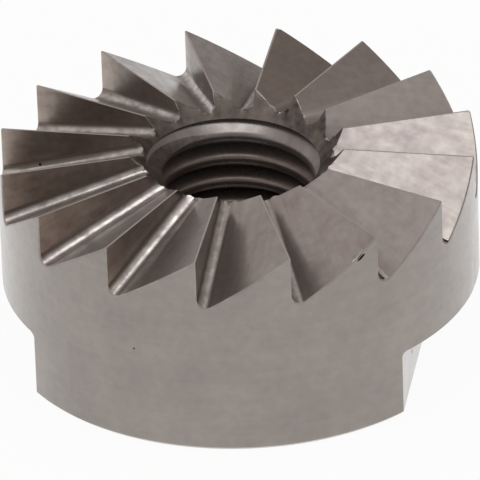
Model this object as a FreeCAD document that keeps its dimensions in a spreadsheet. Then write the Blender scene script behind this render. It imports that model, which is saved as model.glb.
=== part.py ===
import FreeCAD, Part
import math
import os
from enum import IntEnum

import Sketcher
from FreeCAD import Vector

# A tap reseating cutter: one turned and milled piece of hardened steel. Saw-shaped teeth run from the
# rim to a conical recess in its top, its bore takes a threaded spindle, and two flats low on its side
# take a spanner. It stands on its back face at Z = 0, with its axis on Z and its flats square to X.

# Driving sizes, in millimetres and degrees
SIZES = {
    "cutter_dia": 27.0,
    "cutter_height": 12.0,         # from the back face to the cutting edges
    "recess_dia": 12.2,            # the conical recess, level with the cutting edges
    "recess_angle": 90.0,          # across the cone
    "bore_dia": 8.5,               # as drilled for its thread, an M10 of 1.5 mm pitch
    "back_sink_dia": 11.0,         # countersink at the back end of the bore
    "back_sink_angle": 90.0,       # across the cone
    "tooth_count": 16,
    "tooth_turn": -1.0,            # from the square of the flats to the nearest cutting edge
    "gash_angle": 60.0,            # from an upright cutting face to the back of the next tooth
    "gash_corner_radius": 0.5,     # round in the bottom of each gash
    "tip_land": 0.1,               # narrow flat left behind each cutting edge
    "across_flats": 20.8,          # for a 21 mm spanner
    "flats_height": 4.0,
    "flats_corner_radius": 0.3,    # round where each flat meets its shoulder
    "back_edge_chamfer": 0.2,      # broken edge all round the back face
}

# Formulas for what follows from those sizes. A gash dips towards the rim by just enough for the back
# of one tooth and the face of the next to meet in a level edge, so its dip follows the tooth count.
PITCH = "(360 deg / sizes.tooth_count)"
GASH_ANGLE = "(sizes.gash_angle * 1 deg)"
GASH_DIP = f"asin(tan({PITCH}) / tan({GASH_ANGLE}))"
GASH_TOP = f"(sizes.cutter_height + sizes.tip_land * tan({GASH_DIP}) / sin({PITCH}))"
GASH_REACH = "(sizes.cutter_dia / 2)"
RECESS_DEPTH = "(sizes.recess_dia - sizes.bore_dia) / 2 / tan(sizes.recess_angle / 2 * 1 deg)"
BACK_SINK_DEPTH = "(sizes.back_sink_dia - sizes.bore_dia) / 2 / tan(sizes.back_sink_angle / 2 * 1 deg)"

LEVEL = 1e-6                       # two heights closer than this are the same


class Number(IntEnum):
    """How a sketch numbers its own axes and the two ends of an edge."""
    ACROSS_AXIS = -1
    UP_AXIS = -2
    START = 1
    END = 2


ORIGIN = (Number.ACROSS_AXIS, Number.START)


def make_sheet(doc):
    """Writes each driving size to a cell of the sheet, under its own alias."""
    sheet = doc.addObject("Spreadsheet::Sheet", "sizes")
    for row, (name, value) in enumerate(SIZES.items(), start=1):
        sheet.set(f"A{row}", name)
        sheet.set(f"B{row}", str(value))
        sheet.setAlias(f"B{row}", name)
    doc.recompute()


def origin_part(body, role):
    """Finds the plane or axis of the body's own origin that has this role."""
    return next(part for part in body.Origin.OriginFeatures if part.Role == role)


def add_sketch(body, name, plane):
    """Lays an empty sketch on one of the body's origin planes."""
    sketch = body.newObject("Sketcher::SketchObject", name)
    sketch.AttachmentSupport = [(origin_part(body, plane), "")]
    sketch.MapMode = "FlatFace"
    return sketch


def value_of(sketch, formula):
    """Works out a formula of the driving sizes as a plain number."""
    result = sketch.evalExpression(formula)
    return float(getattr(result, "Value", result))


def add_line(sketch, start, end):
    return sketch.addGeometry(Part.LineSegment(Vector(*start, 0), Vector(*end, 0)))


def add_corner(sketch, centre, radius, from_angle, to_angle):
    """Adds an arc that runs counter-clockwise between two angles in degrees."""
    ring = Part.Circle(Vector(*centre, 0), Vector(0, 0, 1), radius)
    return sketch.addGeometry(Part.ArcOfCircle(ring, math.radians(from_angle), math.radians(to_angle)))


def hold(sketch, kind, *where):
    """Adds a constraint that has no size, such as Vertical."""
    sketch.addConstraint(Sketcher.Constraint(kind, *where))


def close_loop(sketch, edges, corner=None):
    """Joins each edge's end to the start of the next, smoothly at both ends of the corner arc."""
    for edge, following in zip(edges, edges[1:] + edges[:1]):
        kind = "Tangent" if corner in (edge, following) else "Coincident"
        hold(sketch, kind, edge, Number.END, following, Number.START)


def add_size(sketch, kind, *where, formula):
    """Adds a dimension that follows a formula of the driving sizes."""
    number = sketch.addConstraint(Sketcher.Constraint(kind, *where, value_of(sketch, formula)))
    sketch.setExpression(f"Constraints[{number}]", formula)


def turn_blank(body):
    """Revolves the half section: a disc with its bore and the cones at the bore's two ends."""
    sketch = add_sketch(body, "blank_section", "XZ_Plane")
    rim = value_of(sketch, "sizes.cutter_dia / 2")
    top = value_of(sketch, "sizes.cutter_height")
    recess = value_of(sketch, "sizes.recess_dia / 2")
    recess_end = top - value_of(sketch, RECESS_DEPTH)
    bore = value_of(sketch, "sizes.bore_dia / 2")
    back_sink = value_of(sketch, "sizes.back_sink_dia / 2")
    back_sink_end = value_of(sketch, BACK_SINK_DEPTH)

    back_edge = add_line(sketch, (back_sink, 0), (rim, 0))
    rim_edge = add_line(sketch, (rim, 0), (rim, top))
    top_edge = add_line(sketch, (rim, top), (recess, top))
    recess_edge = add_line(sketch, (recess, top), (bore, recess_end))
    bore_edge = add_line(sketch, (bore, recess_end), (bore, back_sink_end))
    sink_edge = add_line(sketch, (bore, back_sink_end), (back_sink, 0))
    close_loop(sketch, [back_edge, rim_edge, top_edge, recess_edge, bore_edge, sink_edge])
    start, end = Number.START, Number.END
    hold(sketch, "PointOnObject", back_edge, start, Number.ACROSS_AXIS)
    hold(sketch, "Horizontal", back_edge)
    hold(sketch, "Vertical", rim_edge)
    hold(sketch, "Horizontal", top_edge)
    hold(sketch, "Vertical", bore_edge)
    add_size(sketch, "DistanceX", *ORIGIN, rim_edge, start, formula="sizes.cutter_dia / 2")
    add_size(sketch, "DistanceY", rim_edge, start, rim_edge, end, formula="sizes.cutter_height")
    add_size(sketch, "DistanceX", *ORIGIN, recess_edge, start, formula="sizes.recess_dia / 2")
    add_size(sketch, "DistanceY", recess_edge, end, recess_edge, start, formula=RECESS_DEPTH)
    add_size(sketch, "DistanceX", *ORIGIN, bore_edge, end, formula="sizes.bore_dia / 2")
    add_size(sketch, "DistanceX", *ORIGIN, back_edge, start, formula="sizes.back_sink_dia / 2")
    add_size(sketch, "DistanceY", sink_edge, end, sink_edge, start, formula=BACK_SINK_DEPTH)

    blank = body.newObject("PartDesign::Revolution", "turned_blank")
    blank.Profile = sketch
    blank.ReferenceAxis = (sketch, ["V_Axis"])
    blank.Angle = 360


def mill_flats(body):
    """Mills one flat and its rounded inner corner, and mirrors them to the other side.

    The cut's section runs as far past the rim and below the back face as the blank's own sizes.
    """
    sketch = add_sketch(body, "flat_section", "XZ_Plane")
    flat = value_of(sketch, "sizes.across_flats / 2")
    shoulder = value_of(sketch, "sizes.flats_height")
    corner = value_of(sketch, "sizes.flats_corner_radius")
    outside = value_of(sketch, "sizes.cutter_dia")
    below = -shoulder

    lower_edge = add_line(sketch, (flat, below), (outside, below))
    outer_edge = add_line(sketch, (outside, below), (outside, shoulder))
    shoulder_edge = add_line(sketch, (outside, shoulder), (flat + corner, shoulder))
    corner_edge = add_corner(sketch, (flat + corner, shoulder - corner), corner, 90, 180)
    flat_edge = add_line(sketch, (flat, shoulder - corner), (flat, below))
    close_loop(sketch, [lower_edge, outer_edge, shoulder_edge, corner_edge, flat_edge], corner_edge)
    hold(sketch, "Horizontal", lower_edge)
    hold(sketch, "Vertical", outer_edge)
    hold(sketch, "Horizontal", shoulder_edge)
    hold(sketch, "Vertical", flat_edge)
    start, end = Number.START, Number.END
    add_size(sketch, "DistanceX", *ORIGIN, flat_edge, end, formula="sizes.across_flats / 2")
    add_size(sketch, "DistanceY", *ORIGIN, shoulder_edge, start, formula="sizes.flats_height")
    add_size(sketch, "Radius", corner_edge, formula="sizes.flats_corner_radius")
    add_size(sketch, "DistanceX", *ORIGIN, outer_edge, start, formula="sizes.cutter_dia")
    add_size(sketch, "DistanceY", lower_edge, start, *ORIGIN, formula="sizes.flats_height")

    flat_cut = body.newObject("PartDesign::Pocket", "flat")
    flat_cut.Profile = sketch
    flat_cut.Type = "ThroughAll"
    flat_cut.Midplane = True

    flats = body.newObject("PartDesign::Mirrored", "flats")
    flats.Originals = [flat_cut]
    flats.MirrorPlane = (origin_part(body, "YZ_Plane"), [""])
    body.Tip = flats


def break_back_edge(body):
    """Chamfers the whole outline of the back face, its two arcs and its two flats."""
    milled = body.Tip
    back_face = next(face for face in milled.Shape.Faces if face.BoundBox.ZMax < LEVEL)
    outline = back_face.OuterWire.Edges
    names = [f"Edge{i}" for i, edge in enumerate(milled.Shape.Edges, start=1)
             if any(edge.isSame(side) for side in outline)]

    chamfer = body.newObject("PartDesign::Chamfer", "back_edge")
    chamfer.Base = (milled, names)
    chamfer.setExpression("Size", "sizes.back_edge_chamfer")
    body.Tip = chamfer


def mill_gashes(body):
    """Mills one gash with an angular cutter along its dip, and turns it round to every tooth.

    The sketch is the cutter's section, square to the gash, with its upright side in the cutting face
    of a tooth. Its sharp corner would lie at the sketch's origin, on the axis of the part.
    """
    sketch = add_sketch(body, "gash_section", "YZ_Plane")
    turn = "rotation(vector(0; 1; 0); sizes.tooth_turn)"
    dip = f"rotation(vector(1; 0; 0); {GASH_DIP})"
    sketch.setExpression("AttachmentOffset", f"placement(vector(0; {GASH_TOP}; 0); {turn} * {dip})")
    angle = value_of(sketch, GASH_ANGLE)
    radius = value_of(sketch, "sizes.gash_corner_radius")
    reach = value_of(sketch, GASH_REACH)
    side, rise = math.sin(math.radians(angle)), math.cos(math.radians(angle))
    to_corner = radius / math.tan(math.radians(angle / 2))

    top_edge = add_line(sketch, (reach * side / rise, reach), (0, reach))
    face_edge = add_line(sketch, (0, reach), (0, to_corner))
    corner_edge = add_corner(sketch, (radius, to_corner), radius, 180, 360 - angle)
    tooth_back_edge = add_line(sketch, (to_corner * side, to_corner * rise), (reach * side / rise, reach))
    close_loop(sketch, [top_edge, face_edge, corner_edge, tooth_back_edge], corner_edge)
    hold(sketch, "Horizontal", top_edge)
    hold(sketch, "PointOnObject", face_edge, Number.START, Number.UP_AXIS)
    hold(sketch, "PointOnObject", face_edge, Number.END, Number.UP_AXIS)
    hold(sketch, "PointOnObject", *ORIGIN, tooth_back_edge)
    add_size(sketch, "Radius", corner_edge, formula="sizes.gash_corner_radius")
    start = Number.START
    add_size(sketch, "DistanceY", *ORIGIN, top_edge, start, formula=GASH_REACH)
    add_size(sketch, "DistanceX", *ORIGIN, top_edge, start, formula=f"{GASH_REACH} * tan({GASH_ANGLE})")

    gash = body.newObject("PartDesign::Pocket", "gash")
    gash.Profile = sketch
    gash.Type = "ThroughAll"
    gash.Reversed = True           # outwards from the axis

    gashes = body.newObject("PartDesign::PolarPattern", "gashes")
    gashes.Originals = [gash]
    gashes.Axis = (origin_part(body, "Z_Axis"), [""])
    gashes.Angle = 360
    gashes.setExpression("Occurrences", "sizes.tooth_count")
    body.Tip = gashes


def check_step(doc, body, step, volume_before):
    """Recomputes, and stops if any object failed or a cut took nothing away."""
    doc.recompute()
    failed = [each.Name for each in doc.Objects if {"Invalid", "Error"} & set(each.State)]
    if failed or body.Shape.isNull() or not body.Shape.isValid():
        raise RuntimeError(f"{step} failed: {failed}")
    loose = [each.Name for each in doc.Objects
             if each.TypeId == "Sketcher::SketchObject" and not each.FullyConstrained]
    if loose:
        raise RuntimeError(f"{step} left a sketch free to move: {loose}")
    if volume_before is not None and body.Shape.Volume >= volume_before:
        raise RuntimeError(f"{step} cut nothing")
    return body.Shape.Volume


def main():
    doc = FreeCAD.newDocument("tap_reseating_cutter")
    make_sheet(doc)
    body = doc.addObject("PartDesign::Body", "cutter")
    body.Label = "reseating_cutter"

    volume = None
    for step in (turn_blank, mill_flats, break_back_edge, mill_gashes):
        step(body)
        volume = check_step(doc, body, step.__name__, volume)
    if len(body.Shape.Solids) != 1:
        raise RuntimeError("the cutter isn't one solid")

    os.makedirs("parts", exist_ok=True)
    body.Shape.exportStep(f"parts/{body.Label}.step")
    print(f"{body.Label}: {volume:.1f} mm3, {len(body.Shape.Faces)} faces")


main()
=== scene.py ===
import math

import bmesh
import bpy
import numpy as np
from mathutils import Matrix, Vector


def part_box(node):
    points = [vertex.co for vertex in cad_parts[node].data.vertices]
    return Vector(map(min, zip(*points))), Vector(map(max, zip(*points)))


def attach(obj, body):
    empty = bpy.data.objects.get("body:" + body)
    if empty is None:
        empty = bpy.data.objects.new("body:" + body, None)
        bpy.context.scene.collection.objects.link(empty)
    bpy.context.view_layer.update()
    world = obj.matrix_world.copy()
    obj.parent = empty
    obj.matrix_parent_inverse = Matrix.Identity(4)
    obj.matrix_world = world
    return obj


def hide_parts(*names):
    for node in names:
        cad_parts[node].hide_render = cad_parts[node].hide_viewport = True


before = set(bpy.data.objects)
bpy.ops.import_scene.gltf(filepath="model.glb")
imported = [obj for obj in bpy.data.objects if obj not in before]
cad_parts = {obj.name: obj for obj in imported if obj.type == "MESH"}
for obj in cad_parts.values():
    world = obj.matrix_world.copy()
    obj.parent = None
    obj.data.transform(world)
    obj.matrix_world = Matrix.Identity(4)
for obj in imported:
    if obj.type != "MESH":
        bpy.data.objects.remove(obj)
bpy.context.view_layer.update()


# The teeth. The real cutter is one piece of tool steel, turned, milled and then hardened. A milling
# cutter of 60 degrees was fed sixteen times from the recess out through the rim, and what it left is
# a ring of saw teeth: an upright face, a sloping back, and a narrow level land along each edge.
MM = 0.001  # every size below is in millimetres
cutter_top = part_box("reseating_cutter")[1]
RIM_RADIUS = cutter_top[0] / MM
EDGE_HEIGHT = cutter_top[2] / MM
TEETH = 16
FIRST_EDGE = math.radians(-1.0)
TOOTH_PITCH = 2 * math.pi / TEETH
GASH_ANGLE = math.radians(60)
GASH_CORNER = 0.5
LAND = 0.1
RECESS_RADIUS = 6.1
RECESS_SLOPE = math.tan(math.radians(45))
PLUG_RADIUS = 4.0
WALL_SEAM = 8.0
RIM_WEAR, RECESS_WEAR = 0.07, 0.025  # how far a worn corner is set back from the sharp one
WORN_DEPTH = 0.4
CORNER_LINES, BACK_LINES = 13, 10
WELD_WITHIN = 0.001

gash_dip = math.asin(math.tan(TOOTH_PITCH) / math.tan(GASH_ANGLE))
back_slope = math.tan(gash_dip) / math.sin(TOOTH_PITCH)
apex_height = EDGE_HEIGHT + LAND * back_slope
plug_height = EDGE_HEIGHT - (RECESS_RADIUS - PLUG_RADIUS) / RECESS_SLOPE

# Burrs stand along the inner end of each gash's corner, and fade out over a few columns of its back
BURR_REACH, BURR_RISE = 0.2, 0.7
BURR_ROWS = slice(3, 5)
BURR_FADE = 6
BURR_NOISE, BURR_DETAIL = 2400, 2


def at(radius, turn, height):
    """The point at a turn about the axis, in millimetres."""
    return np.array([radius * math.cos(turn), radius * math.sin(turn), height])


def turn_of(point):
    return math.atan2(point[1], point[0])


def recess_radius(height):
    return RECESS_RADIUS - (EDGE_HEIGHT - height) * RECESS_SLOPE


def corner_line(angle):
    """Where a line of the gash's rounded bottom starts on the recess wall and ends on the rim."""
    across = GASH_CORNER * (1 + math.cos(angle))
    above = GASH_CORNER * (1 / math.tan(GASH_ANGLE / 2) + math.sin(angle))
    cos_dip, sin_dip = math.cos(gash_dip), math.sin(gash_dip)
    foot = np.array([above * sin_dip, across, apex_height + above * cos_dip])
    along = np.array([cos_dip, 0, -sin_dip])

    rim_run = (math.sqrt(RIM_RADIUS**2 - across**2) - foot[0]) / along[0]
    reach, fall = recess_radius(foot[2]), along[2] * RECESS_SLOPE
    square = along[0] ** 2 - fall**2
    linear = 2 * (foot[0] * along[0] - reach * fall)
    rest = foot[0] ** 2 + across**2 - reach**2
    recess_run = (-linear + math.sqrt(linear**2 - 4 * square * rest)) / (2 * square)
    return foot + recess_run * along, foot + rim_run * along


def back_line(recess_turn, rim_turn):
    """A line across the tooth's back, from a turn on the recess wall to a turn on the rim."""
    fall = back_slope * math.sin(TOOTH_PITCH - recess_turn)
    radius = recess_radius(apex_height) / (1 + fall * RECESS_SLOPE)
    start = at(radius, recess_turn, apex_height - fall * radius)
    fall = back_slope * math.sin(TOOTH_PITCH - rim_turn)
    return start, at(RIM_RADIUS, rim_turn, apex_height - fall * RIM_RADIUS)


def edge_line(turn):
    return at(RECESS_RADIUS, turn, EDGE_HEIGHT), at(RIM_RADIUS, turn, EDGE_HEIGHT)


def worn_back(ends, radius, stretch, wear):
    """The line that a worn corner leaves on a turned wall, set in from the ends of the tooth lines."""
    flat = [np.array([turn_of(p) * radius, p[2] * stretch]) for p in ends]
    whole_turn = np.array([TOOTH_PITCH * radius, 0])
    chain = [flat[-2] - whole_turn] + flat + [flat[1] + whole_turn]
    worn = []
    for before, here, after in zip(chain, chain[1:], chain[2:]):
        into = (here - before) / np.linalg.norm(here - before)
        away = (after - here) / np.linalg.norm(after - here)
        side_in, side_out = np.array([into[1], -into[0]]), np.array([away[1], -away[0]])
        moved = here + wear * (side_in + side_out) / (1 + side_in @ side_out)
        worn.append((moved[0] / radius, moved[1] / stretch))
    return worn


def tooth_columns():
    """One pitch of the ring, as lines of points from deep in the recess over the tooth to the wall."""
    lines = [edge_line(0)]
    lines += [corner_line(angle) for angle in np.linspace(math.pi, 2 * math.pi - GASH_ANGLE, CORNER_LINES)]
    first = [turn_of(point) for point in lines[-1]]
    last = [TOOTH_PITCH - math.asin(LAND / radius) for radius in (RECESS_RADIUS, RIM_RADIUS)]
    for share in np.linspace(0, 1, BACK_LINES + 1)[1:]:
        lines.append(back_line(*[a + (b - a) * share for a, b in zip(first, last)]))
    lines.append(edge_line(TOOTH_PITCH))

    mean_radius = recess_radius(EDGE_HEIGHT - WORN_DEPTH)
    slant = math.hypot(1, RECESS_SLOPE)
    recess_worn = worn_back([line[0] for line in lines], mean_radius, slant, RECESS_WEAR)
    rim_worn = worn_back([line[1] for line in lines], RIM_RADIUS, 1, RIM_WEAR)
    recess_step, rim_step = recess_worn[1][1], rim_worn[1][1]

    columns = []
    for (start, end), (in_turn, in_top), (out_turn, out_top) in zip(lines, recess_worn, rim_worn):
        run = (end - start) / np.linalg.norm(end - start)
        in_mid, out_mid = min(in_top, recess_step), min(out_top, rim_step)
        columns.append([
            at(PLUG_RADIUS, in_turn, plug_height),
            at(recess_radius(in_mid - BURR_REACH), in_turn, in_mid - BURR_REACH),
            at(recess_radius(in_mid), in_turn, in_mid),
            at(recess_radius(in_top), in_turn, in_top),
            start + run * RECESS_WEAR,
            start + run * BURR_REACH,
            end - run * RIM_WEAR,
            at(RIM_RADIUS, out_turn, out_top),
            at(RIM_RADIUS, out_turn, out_mid),
            at(RIM_RADIUS, out_turn, WALL_SEAM),
        ])
    return np.array(columns)


TURNED, RECESS, WORN, FACE, CORNER, BACK, EDGE_LAND, BURR = range(8)


def tooth_finishes():
    """The finish of each patch between two columns, for one strip after another round the tooth."""
    over_the_top = [FACE] + [CORNER] * (CORNER_LINES - 1) + [BACK] * BACK_LINES + [EDGE_LAND]
    return [[RECESS, RECESS, RECESS, BURR, over, over, WORN, TURNED, TURNED] for over in over_the_top]


def grid_mesh(name, columns, finishes):
    """A mesh of patches between neighbouring columns of points, given in millimetres."""
    count, height = columns.shape[:2]
    mesh = bpy.data.meshes.new(name)
    faces, kinds = [], []
    for column in range(count - 1):
        for row in range(height - 1):
            low = column * height + row
            faces.append((low, low + 1, low + height + 1, low + height))
            kinds.append(finishes[column][row])
    mesh.from_pydata((columns.reshape(-1, 3) * MM).tolist(), [], faces)
    mesh.attributes.new("finish", "INT", "FACE").data.foreach_set("value", kinds)
    return mesh


columns = tooth_columns()
tooth_mesh = grid_mesh("one tooth", columns, tooth_finishes())
burrs, arc = np.zeros(columns.shape[:2]), np.zeros(columns.shape[:2])
burred_columns = [0, 1, CORNER_LINES, CORNER_LINES + BURR_FADE]
burrs[:, BURR_ROWS] = np.interp(range(len(columns)), burred_columns, [0, 1, 1, 0])[:, None]
arc[1:CORNER_LINES + 1] = np.linspace(0, 1, CORNER_LINES)[:, None]
for name, values in (("burr", burrs), ("arc", arc)):
    tooth_mesh.attributes.new(name, "FLOAT", "POINT").data.foreach_set("value", values.ravel())


# The look of the steel: how closely each tool's marks lie along, across and up, in millimetres, with the
# shares that broad patches, fine grain and those marks have in the tone; and the noises behind the three.
TOOL_MARKS = {
    "turned": ((20, 20, 0.3), (0.5, 0.35, 0.15)),
    "milled": ((4, 0.3, 0.3), (0.45, 0.35, 0.2)),
    "scored": ((0.6, 0.3, 0.3), (0.2, 0.35, 0.45)),
}
PATCH_NOISE, GRAIN_NOISE, MARK_NOISE = (300, 3), (1800, 4), (1, 2)
DARK_END, MIDDLE, LIGHT_END = 0.38, 0.5, 0.62
DARK_TINT, NO_TINT, LIGHT_TINT = (1.01, 0.98, 1.0), (1, 1, 1), (0.99, 1.01, 1.0)
MARK_DEPTH = 0.05
OIL_ROUGHNESS, OIL_IOR = 0.25, 2.0
SIDES_MEET = 0.45, 0.55
# Painted highlight: a gash's corner keeps its own bright colour in the middle of its round and takes the
# colours of its two sides towards its edges.
CORNER_HIGHLIGHT_STOPS = ((0.12, (0, 0, 0)), (0.4, (1, 1, 1)), (0.65, (1, 1, 1)), (0.95, (0, 0, 0)))
# Painted shade in the bore: the colour darkens over this span of height, most at the foot.
BORE_SHADE_TOP, BORE_SHADE_FOOT = 9.7, 8.6
# Painted light and shade along a cutting face: how far out it runs, how much it is raised, and where its
# brightness changes.
FACE_LIGHT_REACH, FACE_LIGHT_GAIN = 15, 2.0
FACE_LIGHT_STOPS = 0.4, 0.62, 0.78, 0.9


def steel(name, colour, spread, roughness, relief, marks="turned", metal=1.0, oil=0.0,
          fade=None, bore_shade=None, face_light=None):
    """Bare steel, uneven in tone and gloss, with marks that run the way that the tool did.

    Oil is a film over it. The other three paint light and shade into the colour: fade gives the two
    sides of a gash's corner their own colours, with a painted highlight along the middle between them;
    the next is painted shade that darkens what lies deep in the bore; the last is painted light and
    shade along a cutting face, lighter by the rim and darker further in.
    """
    material = bpy.data.materials.new(name)
    material.use_nodes = True
    nodes, links = material.node_tree.nodes, material.node_tree.links
    shader = nodes["Principled BSDF"]
    shader.inputs["Metallic"].default_value = metal
    shader.inputs["Coat Weight"].default_value = oil
    shader.inputs["Coat Roughness"].default_value = OIL_ROUGHNESS
    shader.inputs["Coat IOR"].default_value = OIL_IOR

    def kept(attribute, output):
        """What the mesh keeps under a name."""
        node = nodes.new("ShaderNodeAttribute")
        node.attribute_name = attribute
        return node.outputs[output]

    def noise(place, scale, detail):
        """A noise over the steel. A milled one differs from tooth to tooth."""
        node = nodes.new("ShaderNodeTexNoise")
        node.noise_dimensions = "4D"
        node.inputs["Scale"].default_value = scale
        node.inputs["Detail"].default_value = detail
        links.new(place, node.inputs["Vector"])
        if marks != "turned":
            links.new(kept("tooth", "Fac"), node.inputs["W"])
        return node.outputs["Fac"]

    def between(value, start, end, low=0.0, high=1.0):
        """The value's place between start and end, as a number from low to high."""
        node = nodes.new("ShaderNodeMapRange")
        for socket, number in zip(("From Min", "From Max", "To Min", "To Max"), (start, end, low, high)):
            node.inputs[socket].default_value = number
        links.new(value, node.inputs["Value"])
        return node.outputs["Result"]

    def ramp(value, stops, interpolation="LINEAR"):
        """A colour for each value, from stops of a position and a colour in rising order."""
        node = nodes.new("ShaderNodeValToRGB")
        node.color_ramp.interpolation = interpolation
        elements = node.color_ramp.elements
        elements[0].position, elements[1].position = stops[0][0], stops[-1][0]
        for position, tone in stops[1:-1]:
            elements.new(position)
        for element, (position, tone) in zip(elements, stops):
            element.color = (*tone, 1)
        links.new(value, node.inputs["Fac"])
        return node.outputs["Color"]

    def blend(share, first, second):
        """From the first colour to the second one, by the share."""
        node = nodes.new("ShaderNodeMix")
        node.data_type = "RGBA"
        inputs = {socket.identifier: socket for socket in node.inputs}
        outputs = {socket.identifier: socket for socket in node.outputs}
        links.new(share, inputs["Factor_Float"])
        links.new(first, inputs["A_Color"])
        links.new(second, inputs["B_Color"])
        return outputs["Result_Color"]

    def times(first, second):
        node = nodes.new("ShaderNodeVectorMath")
        node.operation = "MULTIPLY"
        links.new(first, node.inputs[0])
        links.new(second, node.inputs[1])
        return node.outputs["Vector"]

    def split(vector):
        """The three parts of a place, one by one."""
        node = nodes.new("ShaderNodeSeparateXYZ")
        links.new(vector, node.inputs["Vector"])
        return node.outputs

    place = nodes.new("ShaderNodeTexCoord").outputs["Object"]
    on_tooth = place if marks == "turned" else kept("on tooth", "Vector")
    spacing, shares = TOOL_MARKS[marks]
    lines = nodes.new("ShaderNodeMapping")
    lines.vector_type = "TEXTURE"
    lines.inputs["Scale"].default_value = [size * MM for size in spacing]
    if marks != "turned":
        lines.inputs["Rotation"].default_value = (0, gash_dip, 0)
    links.new(on_tooth, lines.inputs["Vector"])

    tone = None
    parts = (noise(place, *PATCH_NOISE), noise(place, *GRAIN_NOISE),
             noise(lines.outputs["Vector"], *MARK_NOISE))
    for part, share in zip(parts, shares):
        total = nodes.new("ShaderNodeMath")
        total.operation = "MULTIPLY_ADD"
        total.inputs[1].default_value = share
        total.inputs[2].default_value = 0
        links.new(part, total.inputs[0])
        if tone:
            links.new(tone, total.inputs[2])
        tone = total.outputs[0]

    def shaded(light, tint):
        return [part * light * shift for part, shift in zip(colour, tint)]

    shade = ramp(tone, [(DARK_END, shaded(1 - spread, DARK_TINT)), (MIDDLE, shaded(1, NO_TINT)),
                        (LIGHT_END, shaded(1 + spread, LIGHT_TINT))])
    # Painted highlight along the middle of a gash's corner, between the colours of the face and the back
    # beside it.
    if fade:
        round_the_corner = kept("arc", "Fac")
        sides = ramp(round_the_corner, list(zip(SIDES_MEET, fade)))
        shade = blend(ramp(round_the_corner, CORNER_HIGHLIGHT_STOPS, "EASE"), sides, shade)
    # Painted shade deep in the bore: the colour is darkened below the top height, most at the foot.
    if bore_shade:
        depth = between(split(place)["Z"], BORE_SHADE_TOP * MM, BORE_SHADE_FOOT * MM)
        shade = times(shade, ramp(depth, [(0, NO_TINT), (1, bore_shade)]))
    # Painted light and shade along a cutting face: darker further in, where the next tooth shades it, and
    # twice as bright by the rim.
    if face_light:
        run = between(split(on_tooth)["X"], 0, FACE_LIGHT_REACH * MM)
        shade = times(shade, ramp(run, [(stop, (light,) * 3) for stop, light in zip(FACE_LIGHT_STOPS, face_light)]))
        gain = nodes.new("ShaderNodeVectorMath")
        gain.operation = "SCALE"
        gain.inputs["Scale"].default_value = FACE_LIGHT_GAIN
        links.new(shade, gain.inputs[0])
        shade = gain.outputs["Vector"]
    links.new(shade, shader.inputs["Base Color"])

    smooth, rough = roughness
    links.new(between(tone, DARK_END, LIGHT_END, rough, smooth), shader.inputs["Roughness"])
    bump = nodes.new("ShaderNodeBump")
    bump.inputs["Strength"].default_value = relief
    bump.inputs["Distance"].default_value = MARK_DEPTH * MM
    links.new(tone, bump.inputs["Height"])
    links.new(bump.outputs["Normal"], shader.inputs["Normal"])
    return material


finishes = {
    TURNED: steel("turned wall", (0.215, 0.18, 0.152), 0.13, (0.26, 0.36), 0.1, oil=1.0),
    RECESS: steel("turned recess", (0.155, 0.131, 0.116), 0.6, (0.28, 0.45), 1.0, metal=0.8),
    WORN: steel("worn edge", (0.42, 0.39, 0.365), 0.2, (0.35, 0.5), 0.3, metal=0.5),
    # The cutting face's colour carries painted light and shade, brightest by the rim.
    FACE: steel("cutting face", (0.2, 0.168, 0.146), 0.22, (0.3, 0.4), 0.2, "milled",
                face_light=(0.52, 0.42, 0.55, 1.0)),
    # The gash corner's bright middle is a painted highlight; its sides take the colours of the face and
    # the back.
    CORNER: steel("gash corner", (0.52, 0.48, 0.46), 0.35, (0.27, 0.38), 0.4, "scored", metal=0.9,
                  fade=((0.17, 0.142, 0.122), (0.36, 0.316, 0.297))),
    BACK: steel("tooth back", (0.365, 0.323, 0.306), 0.18, (0.3, 0.42), 0.5, "milled",
                metal=0.85, oil=0.35),
    EDGE_LAND: steel("edge land", (0.58, 0.55, 0.53), 0.1, (0.35, 0.45), 0.2, "milled", metal=0.6),
    BURR: steel("burred edge", (0.3, 0.27, 0.245), 0.5, (0.3, 0.45), 0.6),
}


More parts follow.
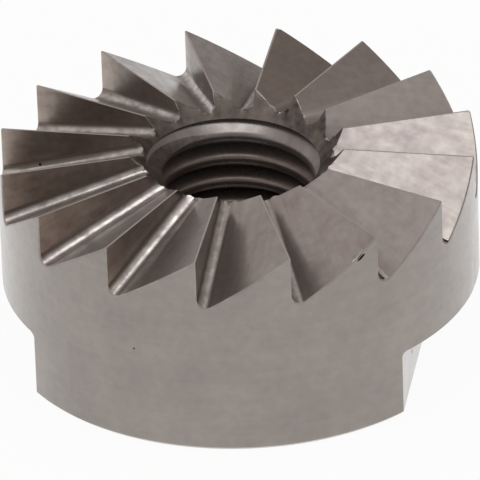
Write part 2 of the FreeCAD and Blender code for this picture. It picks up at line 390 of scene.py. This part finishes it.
def ring_of_teeth():
    """A tree that stands copies of one tooth round the axis and joins them into one ring."""
    tree = bpy.data.node_groups.new("ring of teeth", "GeometryNodeTree")
    for name, kind in (("One tooth", "Geometry"), ("Teeth", "Int"), ("First edge", "Float"),
                       ("Weld within", "Float"), ("Burr", "Float")):
        tree.interface.new_socket(name, in_out="INPUT", socket_type=f"NodeSocket{kind}")
    tree.interface.new_socket("Ring", in_out="OUTPUT", socket_type="NodeSocketGeometry")
    nodes, links = tree.nodes, tree.links
    sizes = nodes.new("NodeGroupInput")

    def store(geometry, name, kind, domain, value):
        """Keeps a value on the geometry under a name, for the finishes to read."""
        keep = nodes.new("GeometryNodeStoreNamedAttribute")
        keep.data_type, keep.domain = kind, domain
        keep.inputs["Name"].default_value = name
        links.new(geometry, keep.inputs["Geometry"])
        links.new(value, keep.inputs["Value"])
        return keep.outputs[0]

    def stored(name, kind):
        """A value that the geometry keeps under a name."""
        named = nodes.new("GeometryNodeInputNamedAttribute")
        named.data_type = kind
        named.inputs["Name"].default_value = name
        return named.outputs["Attribute"]

    spots = nodes.new("GeometryNodePoints")
    links.new(sizes.outputs["Teeth"], spots.inputs["Count"])
    step = nodes.new("ShaderNodeMath")
    step.operation = "DIVIDE"
    step.inputs[0].default_value = 2 * math.pi
    links.new(sizes.outputs["Teeth"], step.inputs[1])
    turn = nodes.new("ShaderNodeMath")
    turn.operation = "MULTIPLY_ADD"
    links.new(nodes.new("GeometryNodeInputIndex").outputs[0], turn.inputs[0])
    links.new(step.outputs[0], turn.inputs[1])
    links.new(sizes.outputs["First edge"], turn.inputs[2])
    about = nodes.new("FunctionNodeAxisAngleToRotation")
    links.new(turn.outputs[0], about.inputs["Angle"])

    here = nodes.new("GeometryNodeInputPosition").outputs[0]
    pattern = store(sizes.outputs["One tooth"], "on tooth", "FLOAT_VECTOR", "CORNER", here)
    stand = nodes.new("GeometryNodeInstanceOnPoints")
    links.new(spots.outputs[0], stand.inputs["Points"])
    links.new(pattern, stand.inputs["Instance"])
    links.new(about.outputs[0], stand.inputs["Rotation"])
    number = nodes.new("GeometryNodeInputIndex").outputs[0]
    numbered = store(stand.outputs[0], "place in ring", "INT", "INSTANCE", number)
    whole = nodes.new("GeometryNodeRealizeInstances")
    links.new(numbered, whole.inputs[0])
    marked = store(whole.outputs[0], "tooth", "FLOAT", "FACE", stored("place in ring", "INT"))
    weld = nodes.new("GeometryNodeMergeByDistance")
    links.new(marked, weld.inputs["Geometry"])
    links.new(sizes.outputs["Weld within"], weld.inputs["Distance"])

    ragged = nodes.new("ShaderNodeTexNoise")
    ragged.inputs["Scale"].default_value = BURR_NOISE
    ragged.inputs["Detail"].default_value = BURR_DETAIL
    sway = nodes.new("ShaderNodeVectorMath")
    sway.operation = "SUBTRACT"
    sway.inputs[1].default_value = (0.5, 0.5, 0.5)
    links.new(ragged.outputs["Color"], sway.inputs[0])
    rise = nodes.new("ShaderNodeMath")
    rise.operation = "MULTIPLY"
    links.new(stored("burr", "FLOAT"), rise.inputs[0])
    links.new(sizes.outputs["Burr"], rise.inputs[1])
    lift = nodes.new("ShaderNodeVectorMath")
    lift.operation = "SCALE"
    links.new(sway.outputs["Vector"], lift.inputs[0])
    links.new(rise.outputs[0], lift.inputs["Scale"])
    burred = nodes.new("GeometryNodeSetPosition")
    links.new(weld.outputs[0], burred.inputs["Geometry"])
    links.new(lift.outputs["Vector"], burred.inputs["Offset"])

    ring = burred.outputs[0]
    finish = stored("finish", "INT")
    for number, material in finishes.items():
        alike = nodes.new("ShaderNodeMath")
        alike.operation = "COMPARE"
        links.new(finish, alike.inputs[0])
        alike.inputs[1].default_value = number
        coat = nodes.new("GeometryNodeSetMaterial")
        coat.inputs["Material"].default_value = material
        links.new(ring, coat.inputs["Geometry"])
        links.new(alike.outputs[0], coat.inputs["Selection"])
        ring = coat.outputs[0]
    links.new(ring, nodes.new("NodeGroupOutput").inputs["Ring"])
    return tree


def as_piece(name, mesh):
    piece = bpy.data.objects.new(name, mesh)
    bpy.context.scene.collection.objects.link(piece)
    return piece


def with_modifiers_applied(piece, name):
    """The piece's own mesh becomes what its modifiers make of it."""
    graph = bpy.context.evaluated_depsgraph_get()
    made = bpy.data.meshes.new_from_object(piece.evaluated_get(graph), depsgraph=graph)
    made.name = name
    piece.modifiers.clear()
    piece.data = made


ring_tree = ring_of_teeth()
crown = as_piece("crown", tooth_mesh)
standing = crown.modifiers.new("ring of teeth", "NODES")
standing.node_group = ring_tree
ring_sizes = {"Teeth": TEETH, "First edge": FIRST_EDGE,
              "Weld within": WELD_WITHIN * MM, "Burr": BURR_RISE * MM}
for socket in ring_tree.interface.items_tree:
    if socket.name in ring_sizes:
        standing[socket.identifier] = ring_sizes[socket.name]
with_modifiers_applied(crown, "crown")


# The turned body under the teeth. Two flats for a spanner are milled low on its sides with a small
# round in their corner, its back edge is broken all round, and the bore is countersunk at the back.
FLAT_REACH = 10.4
FLAT_TOP = 4.0
FLAT_CORNER = 0.3
FLAT_END = 0.004
BACK_BREAK = 0.2
SHOULDER_WEAR = 0.06
SINK_RADIUS = 5.5


def body_rows():
    """The section through a flat, from the wall down to the back edge, as reach and height."""
    rows = [(RIM_RADIUS, FLAT_TOP + SHOULDER_WEAR), (RIM_RADIUS - SHOULDER_WEAR, FLAT_TOP)]
    for angle in np.radians(np.linspace(90, 180, 7)):
        rows.append((FLAT_REACH + FLAT_CORNER * (1 + math.cos(angle)),
                     FLAT_TOP + FLAT_CORNER * (math.sin(angle) - 1)))
    return rows + [(FLAT_REACH, BACK_BREAK), (FLAT_REACH - BACK_BREAK, 0)]


def body_turns():
    """The turns of the body's columns: the crown's own ones, and those at the edges of the flats."""
    low = [turn_of(column[-1]) for column in columns[:-1]]
    turns = [FIRST_EDGE + tooth * TOOTH_PITCH + turn for tooth in range(TEETH) for turn in low[1:]]
    crown_turns = sorted(turn % (2 * math.pi) for turn in turns)
    reaches = [(reach, RIM_RADIUS) for reach, height in body_rows()[2:-2]]
    reaches += [(FLAT_REACH - BACK_BREAK, RIM_RADIUS - BACK_BREAK)]
    corner_turns = [math.acos(reach / radius) for reach, radius in reaches]
    flat_turn = math.acos(FLAT_REACH / RIM_RADIUS)
    corner_turns += [flat_turn - FLAT_END, flat_turn + FLAT_END]
    extra = [side + sign * turn for side in (0, math.pi) for sign in (-1, 1) for turn in corner_turns]
    return crown_turns, sorted(crown_turns + [turn % (2 * math.pi) for turn in extra])


def body_mesh():
    """The wall under the teeth with its flats, the back face, and the countersink as a whole cone.

    A disc closes the recess above. The tap cuts away the disc and the cone's tip.
    """
    crown_turns, turns = body_turns()
    rows = body_rows()
    rings = [[at(RIM_RADIUS, turn, WALL_SEAM) for turn in crown_turns]]
    for number, (reach, height) in enumerate(rows):
        widest = RIM_RADIUS - BACK_BREAK if number == len(rows) - 1 else RIM_RADIUS
        ring = []
        for turn in turns:
            across = abs(math.cos(turn))
            radius = min(widest, reach / across) if number else RIM_RADIUS
            if number == 1 and radius * across < FLAT_REACH + FLAT_CORNER:
                radius = RIM_RADIUS
            ring.append(at(radius, turn, height))
        rings.append(ring)
    rings.append([at(SINK_RADIUS, turn, 0) for turn in turns])
    points = [point for ring in rings for point in ring]
    starts = [int(start) for start in np.cumsum([0] + [len(ring) for ring in rings])]

    faces = []
    for here, turn in enumerate(crown_turns):
        after = (here + 1) % len(crown_turns)
        if after:
            span = [n for n, t in enumerate(turns) if turn <= t <= crown_turns[after]]
        else:
            span = [n for n, t in enumerate(turns) if t >= turn]
            span += [n for n, t in enumerate(turns) if t <= crown_turns[0]]
        faces.append([here] + [starts[1] + n for n in span] + [after])
    for upper, lower in zip(starts[1:-2], starts[2:-1]):
        for here in range(len(turns)):
            after = (here + 1) % len(turns)
            faces.append([upper + here, lower + here, lower + after, upper + after])
    sink, tip = starts[-2], len(points)
    points.append(at(0, 0, SINK_RADIUS))
    for here in range(len(turns)):
        faces.append([sink + here, tip, sink + (here + 1) % len(turns)])

    disc_turns = sorted((FIRST_EDGE + tooth * TOOTH_PITCH + turn_of(column[0])) % (2 * math.pi)
                        for tooth in range(TEETH) for column in columns[1:-1])
    faces.append(list(range(len(points), len(points) + len(disc_turns))))
    points += [at(PLUG_RADIUS, turn, plug_height) for turn in disc_turns]

    mesh = bpy.data.meshes.new("body")
    mesh.from_pydata((np.array(points) * MM).tolist(), [], faces)
    kinds = [TURNED] * (len(faces) - 1) + [RECESS]
    mesh.attributes.new("finish", "INT", "FACE").data.foreach_set("value", kinds)
    return mesh


body = as_piece("body", body_mesh())


# The bore's thread, cut by a tap after the milling: metric, of 1.5 mm pitch, right-handed. It runs out
# through the cones at both ends of the bore, where its last groove is left as a dark curved line.
THREAD_PITCH = 1.5
CREST_RADIUS, ROOT_RADIUS = 4.25, 5.1
ROOT_FLAT = 0.072
FLANK_SLOPE = math.tan(math.radians(60))
CREST_ROUND = 0.37
GROOVE_TURN = math.radians(99.75)
GROOVE_DEPTH = 1.36
TAP_COLUMNS = 180
THREAD = len(finishes)
# The thread's colour carries painted shade that darkens it deeper in the bore.
finishes[THREAD] = steel("cut thread", (0.27, 0.245, 0.235), 0.2, (0.25, 0.33), 0.2, metal=0.7,
                         bore_shade=(0.72, 0.64, 0.6))


def tap_profile():
    """One pitch of the tap's outline from a groove's root, as radius and height."""
    crest_start = ROOT_FLAT / 2 + (ROOT_RADIUS - CREST_RADIUS) / FLANK_SLOPE
    setback = CREST_ROUND * math.tan(math.radians(30))
    rounded = [(CREST_RADIUS + CREST_ROUND * (1 - math.cos(angle)),
                crest_start + setback - CREST_ROUND * math.sin(angle))
               for angle in np.radians([60, 48, 36, 24, 12, 0])]
    half = [(ROOT_RADIUS, ROOT_FLAT / 2)] + rounded
    return half + [(radius, THREAD_PITCH - height) for radius, height in reversed(half)]


def tap_mesh():
    """The tap as a solid: helical rows of points, closed at each end by a fan to the axis."""
    profile = tap_profile()
    pitches = math.ceil((EDGE_HEIGHT + 2 * THREAD_PITCH) / THREAD_PITCH)
    rows = [(radius, height + number * THREAD_PITCH)
            for number in range(pitches + 1) for radius, height in profile]
    groove = EDGE_HEIGHT - GROOVE_DEPTH
    lowest = groove - math.ceil(groove / THREAD_PITCH + 1) * THREAD_PITCH
    count = len(rows) - len(profile)
    points = []
    for step in range(TAP_COLUMNS):
        turn = 2 * math.pi * step / TAP_COLUMNS
        rise = THREAD_PITCH * step / TAP_COLUMNS + lowest
        column = rows[:count] if step else rows
        points += [at(radius, GROOVE_TURN + turn, height + rise) for radius, height in column]

    def point_at(step, row):
        """Past the last column, a row goes on as the row one pitch higher in the first column."""
        if step == TAP_COLUMNS:
            return row + len(profile)
        return step * count + row + (len(profile) if step else 0)

    faces = []
    for step in range(TAP_COLUMNS):
        for row in range(count - 1):
            faces.append((point_at(step, row), point_at(step + 1, row),
                          point_at(step + 1, row + 1), point_at(step, row + 1)))
    foot, top = len(points), len(points) + 1
    points += [at(0, 0, lowest - THREAD_PITCH), at(0, 0, lowest + (pitches + 2) * THREAD_PITCH)]
    for step in range(TAP_COLUMNS):
        faces.append((foot, point_at(step + 1, 0), point_at(step, 0)))
        faces.append((top, point_at(step, count - 1), point_at(step + 1, count - 1)))
    faces.append([foot] + list(range(0, len(profile) + 1)))
    faces.append([top] + list(range(len(profile) + count - 1, count - 2, -1)))
    mesh = bpy.data.meshes.new("tap")
    mesh.from_pydata((np.array(points) * MM).tolist(), [], faces)
    mesh.materials.append(finishes[THREAD])
    return mesh


tap = as_piece("tap", tap_mesh())


# Knocks from use. A chip has broken out of the back of one tooth beside the rim, one far tip is blunt,
# and there are a few pinholes in the steel. Each is a hollow with bright, worn walls or with dark walls,
# whose darkness is painted shade over the real shading of the hollow.
# Painted shade: the dark walls of a hollow take a nearly black colour, over the real shading of its shape.
PIT_SHADE = len(finishes)
finishes[PIT_SHADE] = steel("shaded pit", (0.1, 0.088, 0.08), 0.4, (0.4, 0.55), 1.0)
DARK, BRIGHT = 0, 1
CHIP_RUN = (0.6, 0.55, 0.58)


def pit(bm, radius, turn, height, size, stretch=1.0, run=(1, 0, 0), walls=DARK):
    """A hollow centred on a point of the surface, longer along its run by the stretch."""
    place = Vector(at(radius, math.radians(turn), height)) * MM
    lie = Vector(run).to_track_quat("X", "Z")
    scale = Vector((size * stretch, size, size)) * MM
    made = bmesh.ops.create_icosphere(
        bm, subdivisions=2, radius=1, matrix=Matrix.LocRotScale(place, lie, scale))
    for face in {face for vert in made["verts"] for face in vert.link_faces}:
        face.material_index = walls


pits = bmesh.new()
pit(pits, 13.37, -51.5, 11.27, 0.17, stretch=3.2, run=CHIP_RUN, walls=BRIGHT)
pit(pits, 13.45, -50.7, 11.15, 0.1, stretch=3.6, run=CHIP_RUN)
pit(pits, 13.5, 88.2, 12.36, 0.5, walls=BRIGHT)
pit(pits, 11.3, 179.5, 9.9, 0.09)
pit(pits, 13.3, -44.4, 9.2, 0.11)
pit(pits, 13.4, -21.3, 9.15, 0.1)
pit(pits, 13.5, -107, 6.0, 0.06)
pit(pits, 11.5, -25.4, 1.9, 0.12)
knock_mesh = bpy.data.meshes.new("knocks")
pits.to_mesh(knock_mesh)
pits.free()
knock_mesh.materials.append(finishes[PIT_SHADE])
knock_mesh.materials.append(finishes[WORN])
knocks = as_piece("knocks", knock_mesh)


# The finished cutter. The teeth and the body under them are joined into one closed piece of hardened
# steel, and then the thread and the knocks are cut from it.
SHARP_ANGLE = math.radians(25)

for material in finishes.values():
    body.data.materials.append(material)
body.data.polygons.foreach_set("material_index", [
    kind.value for kind in body.data.attributes["finish"].data])
with bpy.context.temp_override(active_object=body, selected_editable_objects=[body, crown]):
    bpy.ops.object.join()
cutter = body
cutter.name = "hardened_cutter"
weld = cutter.modifiers.new("weld", "WELD")
weld.merge_threshold = WELD_WITHIN * MM
for name, tool in (("tapping", tap), ("chipping", knocks)):
    cut = cutter.modifiers.new(name, "BOOLEAN")
    cut.object, cut.operation, cut.solver = tool, "DIFFERENCE", "MANIFOLD"
    cut.material_mode = "TRANSFER"
with_modifiers_applied(cutter, "hardened_cutter")
bpy.data.objects.remove(tap)
bpy.data.objects.remove(knocks)
cutter.data.shade_smooth()
cutter.data.set_sharp_from_angle(angle=SHARP_ANGLE)

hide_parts("reseating_cutter")
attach(cutter, "root")


# The studio: a pale paper floor that runs out of the picture on every side, a hair below the cutter.
# It shows in the picture and in the steel as nearly white, with a soft shadow round the cutter's foot.
# What lies under the cutter doesn't shine up into the bore.
FLOOR_HALF = 600
FLOOR_DROP = 0.02
COVERED, CLEAR = 8, 10
PAPER_WHITE = (0.9, 0.9, 0.9, 1)
PAPER_GLOW = 0.95


def paper():
    material = bpy.data.materials.new("floor paper")
    material.use_nodes = True
    nodes, links = material.node_tree.nodes, material.node_tree.links
    matt = nodes["Principled BSDF"]
    matt.inputs["Base Color"].default_value = PAPER_WHITE
    matt.inputs["Roughness"].default_value = 1.0
    matt.inputs["Specular IOR Level"].default_value = 0.0
    glow = nodes.new("ShaderNodeEmission")
    rays = nodes.new("ShaderNodeLightPath")
    seen = nodes.new("ShaderNodeMath")
    seen.operation = "MAXIMUM"
    links.new(rays.outputs["Is Camera Ray"], seen.inputs[0])
    links.new(rays.outputs["Is Glossy Ray"], seen.inputs[1])
    apart = nodes.new("ShaderNodeVectorMath")
    apart.operation = "LENGTH"
    links.new(nodes.new("ShaderNodeTexCoord").outputs["Object"], apart.inputs[0])
    uncovered = nodes.new("ShaderNodeMapRange")
    uncovered.inputs["From Min"].default_value = COVERED * MM
    uncovered.inputs["From Max"].default_value = CLEAR * MM
    uncovered.inputs["To Max"].default_value = PAPER_GLOW
    links.new(apart.outputs["Value"], uncovered.inputs["Value"])
    share = nodes.new("ShaderNodeMath")
    share.operation = "MULTIPLY"
    links.new(seen.outputs[0], share.inputs[0])
    links.new(uncovered.outputs["Result"], share.inputs[1])
    blend = nodes.new("ShaderNodeMixShader")
    links.new(share.outputs[0], blend.inputs["Fac"])
    links.new(matt.outputs["BSDF"], blend.inputs[1])
    links.new(glow.outputs["Emission"], blend.inputs[2])
    links.new(blend.outputs["Shader"], nodes["Material Output"].inputs["Surface"])
    return material


floor_mesh = bpy.data.meshes.new("floor")
floor_corners = [(x * FLOOR_HALF * MM, y * FLOOR_HALF * MM, -FLOOR_DROP * MM)
                 for x, y in ((-1, -1), (1, -1), (1, 1), (-1, 1))]
floor_mesh.from_pydata(floor_corners, [], [(0, 1, 2, 3)])
floor_mesh.materials.append(paper())
floor = as_piece("floor", floor_mesh)


# The light: one soft box, nearly overhead, in a pale room that is darker and browner behind the cutter.
# Three soft patches lighten the room: low at the back left, halfway up at the left, high at the right.
VIEW_TURN = math.radians(-80.25)  # the camera's side, from which the turns below are counted
NOTHING = (0, 0, 0)


def toward(turn, rise):
    """The direction from the cutter to a place in the room, from its turn and rise in degrees."""
    aim, up = VIEW_TURN + math.radians(turn), math.radians(rise)
    return Vector((math.cos(aim) * math.cos(up), math.sin(aim) * math.cos(up), math.sin(up)))


def lamp(name, turn, rise, distance, side, radiance):
    """A square soft box that faces the cutter."""
    light = bpy.data.lights.new(name, "AREA")
    light.size = side * MM
    light.energy = radiance * math.pi * (side * MM) ** 2
    box = bpy.data.objects.new(name, light)
    bpy.context.scene.collection.objects.link(box)
    away = toward(turn, rise)
    box.location = away * distance * MM
    box.rotation_euler = away.to_track_quat("Z", "Y").to_euler()


lamp("overhead box", turn=90, rise=85, distance=700, side=380, radiance=1.95)

world = bpy.data.worlds.new("room")
bpy.context.scene.world = world
world.use_nodes = True
room = world.node_tree
facing = room.nodes.new("ShaderNodeTexCoord").outputs["Generated"]


def room_tone(turn, rise, far, near, far_colour, near_colour):
    """A tone that changes with the angle from one direction, between two angles in degrees."""
    alike = room.nodes.new("ShaderNodeVectorMath")
    alike.operation = "DOT_PRODUCT"
    alike.inputs[1].default_value = toward(turn, rise)
    room.links.new(facing, alike.inputs[0])
    tone = room.nodes.new("ShaderNodeMapRange")
    tone.data_type, tone.interpolation_type = "FLOAT_VECTOR", "SMOOTHSTEP"
    sockets = {socket.identifier: socket for socket in tone.inputs}
    sockets["From_Min_FLOAT3"].default_value = (math.cos(math.radians(far)),) * 3
    sockets["From_Max_FLOAT3"].default_value = (math.cos(math.radians(near)),) * 3
    sockets["To_Min_FLOAT3"].default_value = far_colour
    sockets["To_Max_FLOAT3"].default_value = near_colour
    room.links.new(alike.outputs["Value"], sockets["Vector"])
    return tone.outputs["Vector"]


tones = [
    room_tone(180, 0, 110, 40, (0.4, 0.385, 0.372), (0.215, 0.176, 0.152)),
    room_tone(-145, 0, 35, 5, NOTHING, (0.27, 0.28, 0.3)),
    room_tone(-95, 45, 65, 20, NOTHING, (0.36, 0.343, 0.338)),
    room_tone(90, 65, 50, 10, NOTHING, (0.2, 0.192, 0.187)),
]
total = tones[0]
for tone in tones[1:]:
    both = room.nodes.new("ShaderNodeVectorMath")
    room.links.new(total, both.inputs[0])
    room.links.new(tone, both.inputs[1])
    total = both.outputs["Vector"]
room.links.new(total, room.nodes["Background"].inputs["Color"])


# The camera, at the photograph's angle and framing. It stands far off and looks down on the cutter
# through a long lens, turned a little about its own line of sight.
CAMERA_RISE = math.radians(30.24)
CAMERA_DISTANCE = 521.2
CAMERA_ROLL = math.radians(-2.056)
CAMERA_AIM = (0, 0, 5.67)
FILM_WIDTH, LENS = 36, 692.1

camera_data = bpy.data.cameras.new("camera")
camera_data.sensor_width = FILM_WIDTH
camera_data.lens = LENS
camera = bpy.data.objects.new("camera", camera_data)
bpy.context.scene.collection.objects.link(camera)
away = Vector(at(math.cos(CAMERA_RISE), VIEW_TURN, math.sin(CAMERA_RISE)))
across = Vector((0, 0, 1)).cross(away).normalized()
stand = Matrix((across, away.cross(across), away)).transposed().to_4x4()
stand = stand @ Matrix.Rotation(CAMERA_ROLL, 4, "Z")
stand.translation = (Vector(CAMERA_AIM) + away * CAMERA_DISTANCE) * MM
camera.matrix_world = stand
bpy.context.scene.camera = camera
bpy.context.scene.view_settings.view_transform = "Standard"
